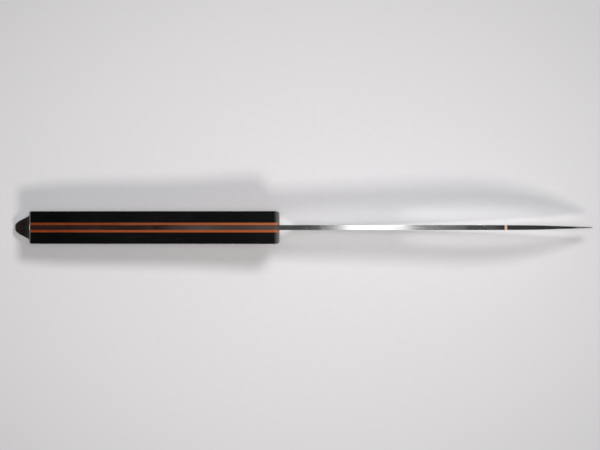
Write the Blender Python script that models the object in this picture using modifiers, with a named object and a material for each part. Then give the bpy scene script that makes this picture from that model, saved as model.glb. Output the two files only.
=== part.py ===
"""Santoku knife with a full tang, standing on its heel and on the toe of its handle.

The knife is drawn in its own axes and then tilted as a whole. In its own axes X runs
from the front of the handle to the tip, Z from the edge up to the spine, and Y across
the blade. The front end of the handle at the spine is the knife's own zero point.
"""

import math
from collections import namedtuple

import bmesh
import bpy
from mathutils import Vector
from mathutils.geometry import interpolate_bezier

MM = 0.001

# Blade outline
BLADE_LENGTH = 165.0 * MM
BLADE_DEPTH = 46.0 * MM
HEEL_REACH = 7.5 * MM
SPINE_RUN = 98.0 * MM
SPINE_SWEEP = 36.0 * MM
TIP_ANGLE = math.radians(58.0)
TIP_PULL = 17.0 * MM
TIP_RISE = 6.5 * MM
EDGE_RUN = 84.0 * MM
EDGE_SWEEP = 27.0 * MM
EDGE_TIP_ANGLE = math.radians(15.0)
EDGE_TIP_PULL = 20.0 * MM

# Rear edge of the blade, from the heel up to the handle
HEEL_LEAN = math.radians(14.0)
HEEL_PULL = 6.6 * MM
CHOIL_SLOPE = math.radians(36.0)
CHOIL_PULL = 8.4 * MM

# Blade section, ground convex from the spine to the sharpened bevel
SPINE_THICK = 2.6 * MM
GRIND_POWER = 0.42
BEVEL_RISE = 0.8 * MM
EDGE_FLAT = 0.01 * MM
SHOULDER_RUN = 3.0 * MM
GRIND_ROWS = 8

# Copper joint between the two steels
SEAM_WIDTH = 0.6 * MM
SEAM_RISE = 13.0 * MM
SEAM_RUN = 62.0 * MM
SEAM_CROSSING = 120.5 * MM
SEAM_ANGLE = math.radians(49.0)
SEAM_PULL = 30.0 * MM
SEAM_RISE_PULL = 18.0 * MM

# Handle outline, each depth measured down from the spine
HANDLE_LENGTH = 134.0 * MM
FRONT_DEPTH = 25.6 * MM
FRONT_RAKE = 2.6 * MM
GRIP_DEPTH = 22.6 * MM
GRIP_PLACE = 23.0 * MM
SWELL_DEPTH = 28.4 * MM
SWELL_PLACE = 71.0 * MM
HOLLOW_DEPTH = 26.6 * MM
HOLLOW_BEFORE_BUTT = 19.0 * MM
TOE_DEPTH = 27.3 * MM
TOE_REACH = 12.5 * MM
TOE_HOOK = 15.0 * MM
NOSE_ROUND = 3.0 * MM
NOSE_TURN = math.radians(73.0)
BUTT_PULL = 9.0 * MM
WAIST_DROP = 2.4 * MM
WAIST_PLACE = 46.0 * MM
HUMP_DROP = 0.6 * MM
HUMP_BEFORE_BUTT = 33.0 * MM
BUTT_DROP = 4.4 * MM

# Handle layers across its width
HANDLE_WIDTH = 17.3 * MM
LINER_THICK = 0.8 * MM
GAP = 0.3 * MM

# Rounding of the handle. The belly's reaches across to a narrow flat down its middle, and
# towards the butt it grows to the whole height and gets leaner.
TOP_ROUND = 0.6 * MM
BELLY_ROUND = 6.5 * MM
BELLY_FLAT = 1.4 * MM
BUTT_LEAN = 2.0
FRONT_ROUND = 3.2 * MM
FRONT_SIDE_ROUND = 2.0 * MM
BUTT_ROUND = 0.9 * MM

# Fineness of the handle's rounded surface
TOP_STEPS = 3
BELLY_STEPS = 7
END_STEPS = 4
RIB_STEPS = 34
FAN_STEPS = 14
NOSE_STEPS = 4
FACE_STEPS = 10

# Two-part rivets
RIVET_FROM_FRONT = 21.0 * MM
RIVET_FROM_BUTT = 23.0 * MM
HEAD_RADIUS = 3.7 * MM
HEAD_THICK = 1.8 * MM
BARREL_RADIUS = 2.5 * MM
PIN_RADIUS = 1.3 * MM
BARREL_SHORT = 2.2 * MM
RIVET_SIDES = 32

# Points for each stretch of a curve, and the share of a stretch that its handles take
CURVE_STEPS = 14
EASE = 0.38
CUT_MARGIN = 4.0 * MM

TANG_HALF = SPINE_THICK / 2
LINER_INNER = TANG_HALF + GAP
LINER_OUTER = LINER_INNER + LINER_THICK
SCALE_INNER = LINER_OUTER + GAP
SCALE_OUTER = HANDLE_WIDTH / 2
HOLLOW_X = HOLLOW_BEFORE_BUTT - HANDLE_LENGTH

Knot = namedtuple("Knot", "at back ahead")
Rib = namedtuple("Rib", "low middle high belly lean")


def clear_scene():
    for obj in list(bpy.data.objects):
        bpy.data.objects.remove(obj, do_unlink=True)


def make_collection(name):
    group = bpy.data.collections.new(name)
    bpy.context.scene.collection.children.link(group)
    return group


def knot(x, z, back=(0.0, 0.0), ahead=(0.0, 0.0)):
    """A point of an outline with its two curve handles."""
    at = Vector((x, z))
    return Knot(at, at + Vector(back), at + Vector(ahead))


def curve_points(knots, steps=CURVE_STEPS):
    """Points along the curve through the knots."""
    points = [knots[0].at.copy()]
    for start, end in zip(knots, knots[1:]):
        straight = start.at == start.ahead and end.at == end.back
        count = 1 if straight else steps
        stretch = interpolate_bezier(start.at, start.ahead, end.back, end.at, count + 1)
        points += [Vector(place[:2]) for place in stretch[1:]]
    return points


def spine_knots():
    """The spine from the handle to the tip: straight, then swept down."""
    tip = Vector((BLADE_LENGTH, TIP_RISE - BLADE_DEPTH))
    down = Vector((math.cos(TIP_ANGLE), -math.sin(TIP_ANGLE)))
    past = tip + down * CUT_MARGIN
    return [
        knot(0.0, 0.0),
        knot(SPINE_RUN, 0.0, ahead=(SPINE_SWEEP, 0.0)),
        knot(*tip, back=-down * TIP_PULL),
        knot(*past),
    ]


def edge_knots():
    """The cutting edge from behind the heel to past the tip."""
    tip = Vector((BLADE_LENGTH, TIP_RISE - BLADE_DEPTH))
    along = Vector((math.cos(EDGE_TIP_ANGLE), math.sin(EDGE_TIP_ANGLE)))
    past = tip + along * 2 * CUT_MARGIN
    return [
        knot(HEEL_REACH, -BLADE_DEPTH),
        knot(HEEL_REACH + EDGE_RUN, -BLADE_DEPTH, ahead=(EDGE_SWEEP, 0.0)),
        knot(*tip, back=-along * EDGE_TIP_PULL),
        knot(*past),
    ]


def top_line():
    """The handle's top from its front end to the butt: a waist, then a hump for the palm."""
    hump_x = HUMP_BEFORE_BUTT - HANDLE_LENGTH
    waist_run = EASE * WAIST_PLACE
    hump_run = EASE * (-hump_x - WAIST_PLACE)
    butt_run = EASE * HUMP_BEFORE_BUTT
    return curve_points([
        knot(0.0, 0.0, ahead=(-waist_run, 0.0)),
        knot(-WAIST_PLACE, -WAIST_DROP, (waist_run, 0.0), (-hump_run, 0.0)),
        knot(hump_x, -HUMP_DROP, (hump_run, 0.0), (-butt_run, 0.0)),
        knot(-HANDLE_LENGTH, -BUTT_DROP, (butt_run, (BUTT_DROP - HUMP_DROP) / 2)),
    ])


def underside():
    """The handle's underside from its front end to the hollow ahead of the toe."""
    front_run, front_rise = EASE * GRIP_PLACE, (FRONT_DEPTH - GRIP_DEPTH) / 2
    grip_run = EASE * (SWELL_PLACE - GRIP_PLACE)
    swell_run = EASE * (-HOLLOW_X - SWELL_PLACE)
    return curve_points([
        knot(-FRONT_RAKE, -FRONT_DEPTH, ahead=(-front_run, front_rise)),
        knot(-GRIP_PLACE, -GRIP_DEPTH, (front_run, 0.0), (-grip_run, 0.0)),
        knot(-SWELL_PLACE, -SWELL_DEPTH, (grip_run, 0.0), (-swell_run, 0.0)),
        knot(HOLLOW_X, -HOLLOW_DEPTH, (swell_run, 0.0)),
    ])


def toe_line():
    """From the hollow down to the nose of the toe, and round it to where the butt begins."""
    nose_x = -HANDLE_LENGTH - TOE_REACH
    back = Vector((math.sin(NOSE_TURN), math.cos(NOSE_TURN)))
    nose_pull = NOSE_ROUND * 4 / 3 * math.tan(NOSE_TURN / 4)
    face_x, face_z = nose_x + NOSE_ROUND * (1 - back.y), -TOE_DEPTH + NOSE_ROUND * back.x
    under = curve_points([
        knot(HOLLOW_X, -HOLLOW_DEPTH, ahead=(-2 * EASE * HOLLOW_BEFORE_BUTT, 0.0)),
        knot(nose_x, -TOE_DEPTH, (0.0, -TOE_HOOK)),
    ], FAN_STEPS)
    nose = curve_points([
        knot(nose_x, -TOE_DEPTH, ahead=(0.0, nose_pull)),
        knot(face_x, face_z, back=-back * nose_pull),
    ], NOSE_STEPS)
    return under + nose[1:], nose[-1] + back * BUTT_PULL


def level_at(line, x):
    """Height of a line at x, read between its points."""
    for start, end in zip(line, line[1:]):
        if min(start.x, end.x) <= x <= max(start.x, end.x) and start.x != end.x:
            return start.y + (end.y - start.y) * (x - start.x) / (end.x - start.x)
    return line[-1].y


def straight_rib(low, high):
    return Rib(low, (low + high) / 2, high, BELLY_ROUND, 1.0)


def handle_ribs():
    """Ribs across the handle's height, upright at first and then fanned out to the hollow butt."""
    top, under = top_line(), underside()
    toe, butt_middle = toe_line()
    ribs = []
    for step in range(RIB_STEPS + 1):
        share = step / RIB_STEPS
        high_x, low_x = HOLLOW_X * share, -FRONT_RAKE + (HOLLOW_X + FRONT_RAKE) * share
        low = Vector((low_x, level_at(under, low_x)))
        ribs.append(straight_rib(low, Vector((high_x, level_at(top, high_x)))))
    last_upright = ribs.pop()
    for step, low in enumerate(toe):
        share = step / (len(toe) - 1)
        high_x = HOLLOW_X - HOLLOW_BEFORE_BUTT * share
        high = Vector((high_x, level_at(top, high_x)))
        middle = last_upright.middle.lerp(butt_middle, share)
        whole = (high - low).length - 2 * TOP_ROUND
        belly = BELLY_ROUND + (whole - BELLY_ROUND) * share
        ribs.append(Rib(low, middle, high, belly, 1.0 + BUTT_LEAN * share))
    return ribs


def on_rib(rib, share):
    """A place on a rib, from its low end to its high end."""
    rest = 1 - share
    return rib.low * rest ** 2 + rib.middle * 2 * share * rest + rib.high * share ** 2


def rounded_end(rib, low_out, high_out, rounding, side_rounding):
    """Ribs that step out to an end rib while they shrink, so that its corners are round."""
    low_up = (rib.middle - rib.low).normalized()
    high_up = (rib.high - rib.middle).normalized()
    ends = []
    for step in range(END_STEPS + 1):
        angle = math.pi / 2 * step / END_STEPS
        shrink, short = 1 - math.cos(angle), 1 - math.sin(angle)
        low = rib.low + (low_up * shrink - low_out * short) * rounding
        high = rib.high - (high_up * shrink + high_out * short) * rounding
        middle = rib.middle - (low_out + high_out) / 2 * short * rounding
        end = Rib(low, middle, high, rib.belly, rib.lean)
        ends.append((end, side_rounding * shrink))
    return ends


def handle_sections():
    """All ribs from the front face to the butt face, each with the amount its sides draw in."""
    ribs = handle_ribs()
    front, butt = ribs[0], ribs[-1]
    under = (ribs[0].low - ribs[1].low).normalized()
    past_butt = (ribs[-1].high - ribs[-2].high).normalized()
    opening = rounded_end(front, under, Vector((1.0, 0.0)), FRONT_ROUND, FRONT_SIDE_ROUND)[::-1]
    closing = rounded_end(butt, Vector((0.0, 0.0)), past_butt, BUTT_ROUND, BUTT_ROUND)
    clear = [rib for rib in ribs[1:-1]
             if (rib.low - front.low).length > FRONT_ROUND + BUTT_ROUND
             and (rib.high - butt.high).length > BUTT_ROUND]
    return opening + [(rib, 0.0) for rib in clear] + closing


def steel_outline():
    """Closed outline of blade and tang. Along the edge it is left oversize."""
    heel = Vector((HEEL_REACH, -BLADE_DEPTH))
    lean = Vector((math.sin(HEEL_LEAN), -math.cos(HEEL_LEAN)))
    slope = Vector((math.cos(CHOIL_SLOPE), -math.sin(CHOIL_SLOPE)))
    below = heel + lean * CUT_MARGIN
    sections = [rib for rib, _ in handle_sections()][END_STEPS:]
    rear_edge = [
        knot(BLADE_LENGTH + CUT_MARGIN, below.y),
        knot(*below),
        knot(*heel, ahead=-lean * HEEL_PULL),
        knot(*sections[0].low, back=slope * CHOIL_PULL),
    ]
    blade = curve_points(spine_knots() + rear_edge)
    butt = [on_rib(sections[-1], step / FACE_STEPS) for step in range(1, FACE_STEPS)]
    lows, highs = [rib.low for rib in sections[1:]], [rib.high for rib in reversed(sections)]
    return blade + lows + butt + highs


def finish_mesh(name, build, group):
    """A new object from a bmesh, with its faces turned outwards."""
    bmesh.ops.recalc_face_normals(build, faces=build.faces)
    mesh = bpy.data.meshes.new(name)
    build.to_mesh(mesh)
    build.free()
    obj = bpy.data.objects.new(name, mesh)
    group.objects.link(obj)
    return obj


def hide_tool(obj):
    obj.hide_render = True
    obj.display_type = "WIRE"
    return obj


def loft(name, rings, group):
    """A closed solid through rings that are the same on the left and the right.

    Its faces are cut into triangles, because the Booleans need flat ones.
    """
    build = bmesh.new()
    loops = [[build.verts.new(point) for point in ring] for ring in rings]
    for first, second in zip(loops, loops[1:]):
        for index in range(len(first)):
            after = (index + 1) % len(first)
            build.faces.new((first[index], first[after], second[after], second[index]))
    for loop in (loops[0], loops[-1]):
        for index in range(len(loop) // 2 - 1):
            build.faces.new((loop[index], loop[index + 1], loop[-2 - index], loop[-1 - index]))
    bmesh.ops.triangulate(build, faces=build.faces)
    return finish_mesh(name, build, group)


def plate(name, points, near, far, group):
    """A flat outline of points in X and Z, extruded from near to far along Y."""
    curve = bpy.data.curves.new(name, "CURVE")
    curve.dimensions = "2D"
    curve.fill_mode = "BOTH"
    curve.extrude = (far - near) / 2
    spline = curve.splines.new("POLY")
    spline.points.add(len(points) - 1)
    for place, point in zip(spline.points, points):
        place.co = (point.x, point.y, 0.0, 1.0)
    spline.use_cyclic_u = True
    drawn = bpy.data.objects.new(name + "_outline", curve)
    drawn.rotation_euler = (math.pi / 2, 0.0, 0.0)
    drawn.location = (0.0, (near + far) / 2, 0.0)
    group.objects.link(drawn)
    bpy.context.view_layer.update()
    evaluated = drawn.evaluated_get(bpy.context.evaluated_depsgraph_get())
    build = bmesh.new()
    build.from_mesh(bpy.data.meshes.new_from_object(evaluated))
    bmesh.ops.remove_doubles(build, verts=build.verts, dist=0.001 * MM)
    build.transform(drawn.matrix_world)
    bpy.data.objects.remove(drawn, do_unlink=True)
    return finish_mesh(name, build, group)


def grind_ring(x, level, ground):
    """The steel's section at x, from its edge at the given level to above the spine."""
    left = [(x, EDGE_FLAT, level)]
    for step in range(GRIND_ROWS + 1):
        row = BEVEL_RISE + (BLADE_DEPTH - BEVEL_RISE) * (step / GRIND_ROWS) ** 2
        share = (row / BLADE_DEPTH) ** GRIND_POWER if ground else 1.0
        left.append((x, TANG_HALF * share, level + row))
    left.append((x, TANG_HALF, level + BLADE_DEPTH + CUT_MARGIN))
    return left + [(x, -y, z) for x, y, z in reversed(left)]


def ground_form(tools):
    """The steel's thickness along its length: full in the handle, then ground convex to a bevel."""
    behind = -HANDLE_LENGTH - TOE_REACH - CUT_MARGIN
    rings = [grind_ring(x, -BLADE_DEPTH, False) for x in (behind, -SHOULDER_RUN)]
    rings.append(grind_ring(0.0, -BLADE_DEPTH, True))
    rings += [grind_ring(point.x, point.y, True) for point in curve_points(edge_knots())]
    return hide_tool(loft("ground_form", rings, tools))


def section_ring(rib, draw_in):
    """The handle's outline across a rib: flat top and sides, and a round belly."""
    length = (rib.high - rib.low).length
    half = SCALE_OUTER - draw_in
    belly = min(rib.belly, length - 2 * TOP_ROUND)
    belly_wide = half - BELLY_FLAT
    side = []
    for step in range(BELLY_STEPS + 1):
        angle = math.pi / 2 * step / BELLY_STEPS
        along = belly * (1 - max(0.0, math.cos(angle)) ** rib.lean)
        side.append((along, half - belly_wide * (1 - math.sin(angle))))
    for step in range(TOP_STEPS + 1):
        angle = math.pi / 2 * (1 - step / TOP_STEPS)
        along = length - TOP_ROUND * (1 - math.cos(angle))
        side.append((along, half - TOP_ROUND * (1 - math.sin(angle))))
    left = []
    for along, across in side:
        x, z = on_rib(rib, along / length)
        left.append((x, across, z))
    return left + [(x, -y, z) for x, y, z in reversed(left)]


def handle_form(tools):
    """The whole rounded handle, from which scales and liners are sliced."""
    rings = [section_ring(rib, draw_in) for rib, draw_in in handle_sections()]
    return hide_tool(loft("handle_form", rings, tools))


def seam_line():
    """Centre line of the copper joint, from behind the heel up across the spine."""
    low = SEAM_RISE - BLADE_DEPTH
    up = Vector((math.cos(SEAM_ANGLE), math.sin(SEAM_ANGLE)))
    crossing = Vector((SEAM_CROSSING, 0.0))
    past = crossing + up * 2 * CUT_MARGIN
    behind_heel = -FRONT_RAKE - FRONT_ROUND - CUT_MARGIN
    knots = [
        knot(behind_heel, low),
        knot(SEAM_RUN, low, ahead=(SEAM_PULL, 0.0)),
        knot(*crossing, back=-up * SEAM_RISE_PULL),
        knot(*past),
    ]
    return curve_points(knots, 2 * CURVE_STEPS)


def beside(line, distance):
    """The line moved sideways, towards the spine when the distance is positive."""
    moved = []
    for index, point in enumerate(line):
        ahead = line[min(index + 1, len(line) - 1)] - line[max(index - 1, 0)]
        along = ahead.normalized()
        moved.append(point + Vector((-along.y, along.x)) * distance)
    return moved


def below_line(name, distance, tools):
    """A block that holds all of the blade below the moved seam line."""
    line = beside(seam_line(), distance)
    front = Vector((BLADE_LENGTH + 2 * CUT_MARGIN, line[-1].y))
    deep = -BLADE_DEPTH - 2 * CUT_MARGIN
    foot = [Vector((front.x, deep)), Vector((line[0].x, deep))]
    return hide_tool(plate(name, line + [front] + foot, -SPINE_THICK, SPINE_THICK, tools))


def seam_band(tools):
    line = seam_line()
    upper = beside(line, SEAM_WIDTH / 2)
    lower = beside(line, -SEAM_WIDTH / 2)
    return hide_tool(plate("seam_band", upper + lower[::-1], -SPINE_THICK, SPINE_THICK, tools))


def cut(obj, operation, tool):
    """A Boolean by one tool, which stays on the object."""
    step = obj.modifiers.new(operation.lower(), "BOOLEAN")
    step.operation = operation
    step.solver = "EXACT"
    step.object = tool


def drill(obj, holes):
    """Cuts every tool of a collection out of the object."""
    step = obj.modifiers.new("drill", "BOOLEAN")
    step.operation = "DIFFERENCE"
    step.solver = "EXACT"
    step.operand_type = "COLLECTION"
    step.collection = holes


def turned(name, profile, group):
    """A solid turned about its own Z axis from a profile of radius and height."""
    mesh = bpy.data.meshes.new(name)
    points = [(radius, 0.0, height) for radius, height in profile]
    mesh.from_pydata(points, [(i, i + 1) for i in range(len(points) - 1)], [])
    obj = bpy.data.objects.new(name, mesh)
    group.objects.link(obj)
    spin = obj.modifiers.new("turn", "SCREW")
    spin.steps = spin.render_steps = RIVET_SIDES
    spin.use_merge_vertices = True
    spin.merge_threshold = 0.01 * MM
    return obj


def middle_of_handle(x):
    """Half way between the handle's top and its underside at x."""
    return (level_at(top_line(), x) + level_at(underside(), x)) / 2


def rivet_places():
    front = -RIVET_FROM_FRONT
    rear = RIVET_FROM_BUTT - HANDLE_LENGTH
    middle = (front + rear) / 2
    return {name: (x, 0.0, middle_of_handle(x)) for name, x in
            (("front", front), ("middle", middle), ("rear", rear))}


def rivet_hole(name, place, tools):
    """The stepped hole that a rivet and its two heads lie in."""
    shelf = SCALE_OUTER - HEAD_THICK - GAP
    outside = SCALE_OUTER + CUT_MARGIN
    head, shank = HEAD_RADIUS + GAP, BARREL_RADIUS + GAP
    half = [(0.0, outside), (head, outside), (head, shelf), (shank, shelf)]
    profile = half + [(radius, -height) for radius, height in reversed(half)]
    hole = turned("hole_" + name, profile, tools)
    hole.location = place
    hole.rotation_euler.x = -math.pi / 2
    return hide_tool(hole)


def rivet(name, place, group):
    """The barrel with its head on the left, and the pin with its head on the right."""
    shelf = SCALE_OUTER - HEAD_THICK
    stop = shelf - BARREL_SHORT
    bore = PIN_RADIUS + GAP
    barrel = [
        (0.0, SCALE_OUTER), (HEAD_RADIUS, SCALE_OUTER), (HEAD_RADIUS, shelf),
        (BARREL_RADIUS, shelf), (BARREL_RADIUS, -stop), (bore, -stop),
        (bore, stop), (0.0, stop),
    ]
    pin = [
        (0.0, SCALE_OUTER), (HEAD_RADIUS, SCALE_OUTER), (HEAD_RADIUS, shelf),
        (PIN_RADIUS, shelf), (PIN_RADIUS, GAP - stop), (0.0, GAP - stop),
    ]
    female = turned(f"rivet_{name}_female", barrel, group)
    male = turned(f"rivet_{name}_male", pin, group)
    female.rotation_euler.x = -math.pi / 2
    male.rotation_euler.x = math.pi / 2
    female.location = male.location = place
    return [female, male]


def coat(obj, colour, roughness, metallic):
    """One plain material of the piece's own."""
    material = bpy.data.materials.new(obj.name)
    material.use_nodes = True
    shader = material.node_tree.nodes["Principled BSDF"]
    shader.inputs["Base Color"].default_value = (*colour, 1.0)
    shader.inputs["Roughness"].default_value = roughness
    shader.inputs["Metallic"].default_value = metallic
    obj.data.materials.append(material)


def soften(obj):
    """Smooth shading on round stretches, with edges over 30 degrees left sharp."""
    obj.data.shade_smooth()
    if obj.data.polygons:
        obj.data.set_sharp_from_angle(angle=math.radians(30.0))


def make_steel(knife, tools):
    """The blade blank cut along the seam into back, copper and cutting steel."""
    form = ground_form(tools)
    reach = SPINE_THICK
    whole = steel_outline()
    back = plate("blade_body", whole, -reach, reach, knife)
    copper = plate("braze_seam", whole, -reach, reach, knife)
    cutting = plate("edge_steel", whole, -reach, reach, knife)
    for piece in (back, copper, cutting):
        cut(piece, "INTERSECT", form)
    side = SEAM_WIDTH / 2 + GAP
    cut(back, "DIFFERENCE", below_line("under_back", side, tools))
    cut(copper, "INTERSECT", seam_band(tools))
    cut(cutting, "INTERSECT", below_line("under_seam", -side, tools))
    coat(back, (0.56, 0.56, 0.57), 0.34, 1.0)
    coat(copper, (0.72, 0.36, 0.20), 0.30, 1.0)
    coat(cutting, (0.66, 0.67, 0.68), 0.12, 1.0)
    return back, [back, copper, cutting]


def make_layers(knife, tools):
    """Liners and scales, sliced from the handle's form."""
    form = handle_form(tools)
    ahead, behind = CUT_MARGIN, -HANDLE_LENGTH - TOE_REACH - CUT_MARGIN
    above, under = CUT_MARGIN, -BLADE_DEPTH
    frame = [Vector(place) for place in
             ((behind, under), (ahead, under), (ahead, above), (behind, above))]
    outside = SCALE_OUTER + CUT_MARGIN
    slices = (
        ("left_liner", LINER_INNER, LINER_OUTER, (0.50, 0.12, 0.03), 0.55),
        ("right_liner", -LINER_OUTER, -LINER_INNER, (0.50, 0.12, 0.03), 0.55),
        ("left_scale", SCALE_INNER, outside, (0.012, 0.012, 0.013), 0.38),
        ("right_scale", -outside, -SCALE_INNER, (0.012, 0.012, 0.013), 0.38),
    )
    layers = []
    for name, near, far, colour, roughness in slices:
        layer = plate(name, frame, near, far, knife)
        cut(layer, "INTERSECT", form)
        coat(layer, colour, roughness, 0.0)
        layers.append(layer)
    return layers


def standing_place():
    """Tilt that sets heel and toe on the ground, and the shift to the middle of the box."""
    heel = Vector((HEEL_REACH, -BLADE_DEPTH))
    behind = [rib.low for rib, _ in handle_sections() if rib.low.x < -SWELL_PLACE]
    tilt = min(math.atan2(point.y - heel.y, heel.x - point.x) for point in behind)
    tip = Vector((BLADE_LENGTH, TIP_RISE - BLADE_DEPTH))
    along = Vector((math.cos(tilt), -math.sin(tilt)))
    up = Vector((math.sin(tilt), math.cos(tilt)))
    reach = [along.dot(point) for point in behind + [tip]]
    return tilt, -(min(reach) + max(reach)) / 2, -up.dot(heel)


def stand_up(pieces, tilt, shift, lift):
    """One empty carries every piece and every tool, and sets them all down."""
    stand = bpy.data.objects.new("knife_axes", None)
    bpy.context.scene.collection.objects.link(stand)
    for piece in pieces:
        piece.parent = stand
    stand.rotation_euler.y = -tilt
    stand.location = (shift, 0.0, lift)


def main():
    clear_scene()
    knife = make_collection("santoku_knife")
    tools = make_collection("cutters")
    holes = make_collection("rivet_holes")
    back, steels = make_steel(knife, tools)
    layers = make_layers(knife, tools)
    fasteners = []
    for name, place in rivet_places().items():
        rivet_hole(name, place, holes)
        fasteners += rivet(name, place, knife)
    for drilled in [back] + layers:
        drill(drilled, holes)
    for fastener in fasteners:
        coat(fastener, (0.60, 0.60, 0.60), 0.22, 1.0)
    for piece in steels + layers + fasteners:
        soften(piece)
    stand_up(list(knife.objects) + list(tools.objects) + list(holes.objects), *standing_place())


main()
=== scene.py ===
import math

import bmesh
import bpy
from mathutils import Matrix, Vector
from mathutils.geometry import interpolate_bezier


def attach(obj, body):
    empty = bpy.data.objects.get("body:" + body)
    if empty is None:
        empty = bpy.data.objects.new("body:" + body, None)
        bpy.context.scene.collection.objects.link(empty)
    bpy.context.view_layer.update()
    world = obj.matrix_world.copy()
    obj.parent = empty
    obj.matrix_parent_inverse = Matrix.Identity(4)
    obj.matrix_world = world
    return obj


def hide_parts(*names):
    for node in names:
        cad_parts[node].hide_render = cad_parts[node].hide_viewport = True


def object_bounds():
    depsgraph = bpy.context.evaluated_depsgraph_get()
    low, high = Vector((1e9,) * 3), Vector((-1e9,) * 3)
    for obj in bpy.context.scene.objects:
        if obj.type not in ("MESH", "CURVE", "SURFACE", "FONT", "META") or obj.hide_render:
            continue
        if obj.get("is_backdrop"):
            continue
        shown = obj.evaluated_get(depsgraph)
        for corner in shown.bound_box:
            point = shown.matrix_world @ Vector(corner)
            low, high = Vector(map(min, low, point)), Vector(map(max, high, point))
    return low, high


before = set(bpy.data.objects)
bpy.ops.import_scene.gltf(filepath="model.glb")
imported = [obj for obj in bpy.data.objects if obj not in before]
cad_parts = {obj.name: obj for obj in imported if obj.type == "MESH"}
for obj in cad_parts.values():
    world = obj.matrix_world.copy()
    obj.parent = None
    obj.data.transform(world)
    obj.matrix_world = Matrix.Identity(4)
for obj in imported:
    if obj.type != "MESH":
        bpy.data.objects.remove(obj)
cad_low, cad_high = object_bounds()

# The blade back and the tang are one plate of stainless steel, 2.6 mm thick. The tang fills the
# handle's outline; ahead of it the plate is ground convex on both sides, brushed up and down on
# its sides and lengthwise on the spine, and drilled for the rivets.

# The knife is drawn in its own axes, with zero at the front of the handle on the spine, and
# every point is then tilted so that the heel and the toe of the handle stand on the floor.
MM = 0.001
STAND_TILT = 0.0815258
STAND_SHIFT = -11.9392 * MM
STAND_LIFT = 45.2364 * MM

PLATE = 2.6 * MM
BLADE_LENGTH = 165.0 * MM
BLADE_DEPTH = 46.0 * MM
HEEL_X = 7.5 * MM
SPINE_START = -4.0 * MM
SPINE_RUN = 98.0 * MM
SPINE_SWEEP = 36.0 * MM
TIP = (BLADE_LENGTH, 6.5 * MM - BLADE_DEPTH)
TIP_DOWN = math.radians(58.0)
TIP_SWEEP = 17.0 * MM
EDGE_RISES_AT = HEEL_X + 84.0 * MM
EDGE_SWEEP = 27.0 * MM
EDGE_UP = math.radians(15.0)
EDGE_END_SWEEP = 20.0 * MM
NECK_SLOPE = math.radians(36.0)
NECK_SWEEP = 8.4 * MM
HEEL_LEAN = math.radians(14.0)
HEEL_SWEEP = 6.6 * MM
GRIND_POWER = 0.42
BEVEL_RISE = 0.8 * MM
EDGE_THICK = 0.02 * MM
EASED_WIDTH = 0.15 * MM
EASED_FROM = -0.2 * MM
EASED_ROOM = 4.0
CORNER_FROM = 0.9
SHOULDER_RUN = 3.0 * MM
TAPER_FROM = 133.0 * MM
TAPER_TO = 154.0 * MM
TAPERED = 0.68
CURVE_STEPS = 42
WELD = 0.002 * MM
GUIDES = ("rise", "in_handle", "thinned", "eased")


def stand(x, y, z):
    """A point of the knife's own axes where it is when the knife stands, kept inside the CAD's box."""
    cos, sin = math.cos(STAND_TILT), math.sin(STAND_TILT)
    across, up = x * cos - z * sin + STAND_SHIFT, x * sin + z * cos + STAND_LIFT
    return Vector((max(across, cad_low.x), y, min(max(up, cad_low.z), cad_high.z)))


def bend(start, ahead, back, end, steps=CURVE_STEPS):
    """Points along one curved stretch, given by its ends and the two handles between them."""
    places = [Vector(place) for place in (start, ahead, back, end)]
    return [Vector(place[:2]) for place in interpolate_bezier(*places, steps + 1)]


def level_at(line, x):
    """Height of a line at x, read between its points."""
    for start, end in zip(line, line[1:]):
        if min(start.x, end.x) <= x <= max(start.x, end.x) and start.x != end.x:
            return start.y + (end.y - start.y) * (x - start.x) / (end.x - start.x)
    return line[-1].y


def on_line(line, x):
    return Vector((x, level_at(line, x)))


def heading(angle):
    return Vector((math.cos(angle), math.sin(angle)))


tip, heel = Vector(TIP), Vector((HEEL_X, -BLADE_DEPTH))
spine = [Vector((SPINE_START, 0.0))] + bend(
    (SPINE_RUN, 0.0), (SPINE_RUN + SPINE_SWEEP, 0.0), tip - heading(-TIP_DOWN) * TIP_SWEEP, tip)
edge = [heel] + bend(
    (EDGE_RISES_AT, heel.y), (EDGE_RISES_AT + EDGE_SWEEP, heel.y),
    tip - heading(EDGE_UP) * EDGE_END_SWEEP, tip)

# The tang has the handle's outline: 134 mm along the top to the butt, and a toe that hooks down.
HANDLE_LENGTH = 134.0 * MM
FRONT_RAKE = 2.6 * MM
HOLLOW_RUN = 19.0 * MM
HOLLOW_X = HOLLOW_RUN - HANDLE_LENGTH
NOSE_ROUND = 3.0 * MM
NOSE_TURN = math.radians(73.0)
BUTT_PULL = 9.0 * MM
EASE = 0.38
TOP_ROUND = 0.35 * MM
BELLY_ROUND = 6.5 * MM
BELLY_FLAT = 1.4 * MM
NOSE_FLAT = 0.8 * MM
BUTT_LEAN = 1.1
FRONT_ROUND = 2.8 * MM
FRONT_SIDE_ROUND = 1.2 * MM
BUTT_ROUND = 0.9 * MM
UPRIGHT_RIBS = 102
TOE_RIBS = 42
NOSE_RIBS = 12
END_RIBS = 12
BODY_ROWS = 26
FRONT_SHARE = 0.1
CHOIL_STEP = 0.5 * MM
BLADE_STEP = 1.0 * MM


def handle_top():
    """The handle's top: a waist behind the thumb, then a hump for the palm."""
    waist, hump, butt = Vector((-46, -2.4)) * MM, Vector((-101, -0.6)) * MM, Vector((-134, -4.4)) * MM
    waist_run, hump_run = Vector((EASE * 46 * MM, 0)), Vector((EASE * 55 * MM, 0))
    butt_back = butt + Vector((EASE * 33 * MM, 1.9 * MM))
    line = bend((0, 0), -waist_run, waist + waist_run, waist)
    line += bend(waist, waist - hump_run, hump + hump_run, hump)[1:]
    return line + bend(hump, hump - Vector((EASE * 33 * MM, 0)), butt_back, butt)[1:]


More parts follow.
